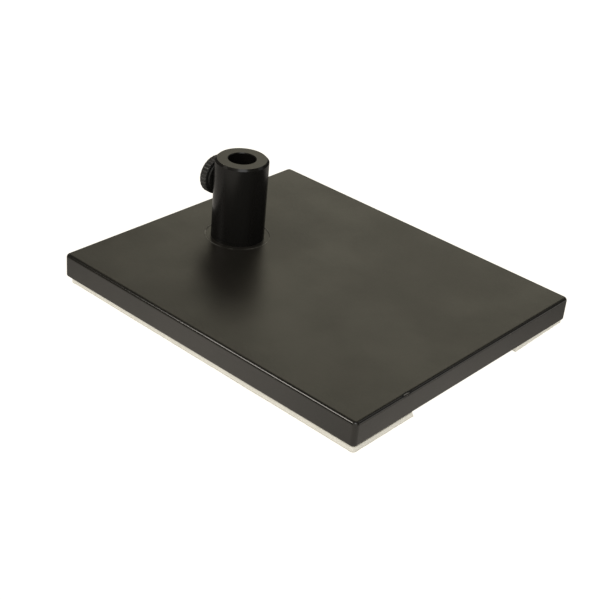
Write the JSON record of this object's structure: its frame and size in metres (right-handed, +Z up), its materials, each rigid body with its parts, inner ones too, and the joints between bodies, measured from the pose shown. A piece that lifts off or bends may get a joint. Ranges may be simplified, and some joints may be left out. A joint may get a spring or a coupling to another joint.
{
  "type": "rod stand base",
  "caption": "Weighted rectangular stand base with a socket post and side thumbscrew that clamps an upright rod, on felt strips.",
  "frame": {"origin": "on the table, under the middle of the plate", "axes": "+Z up along the post, +Y towards the edge the post stands beside, which is where the thumbscrew points"},
  "size_m": [0.15, 0.175, 0.0536],
  "materials": {
    "black_coat": "satin black powder coat on steel",
    "black_oxide": "oiled black oxide",
    "zinc": "bright zinc plate",
    "knob_black": "moulded black nylon, fluted rim",
    "brass": "turned brass",
    "felt": "pressed cream wool felt",
    "tape": "double-sided tape"
  },
  "bodies": {
    "base": {"base_plate": "black_coat", "socket_post": "black_coat", "post_screw": "black_oxide", "lock_washer": "zinc", "roll_pin": "zinc", "felt_left": "felt", "felt_right": "felt", "tape_left": "tape", "tape_right": "tape"},
    "screw_slider": {"clamp_tip": "brass"},
    "thumbscrew": {"thumb_knob": "knob_black", "thumb_stud": "black_oxide"}
  },
  "joints": [
    {"name": "screw_travel", "type": "slide", "parent": "base", "child": "screw_slider", "axis": [0, -1, 0], "range_m": [-0.0038, 0.00042]},
    {"name": "screw_turn", "type": "hinge", "parent": "screw_slider", "child": "thumbscrew", "pos_m": [0, 0.0696, 0.03975], "axis": [0, -1, 0], "range_deg": [-1080, 120]}
  ],
  "couplings": [
    {"joint": "screw_turn", "follows": "screw_travel", "rad_per_m": 4947.4}
  ]
}
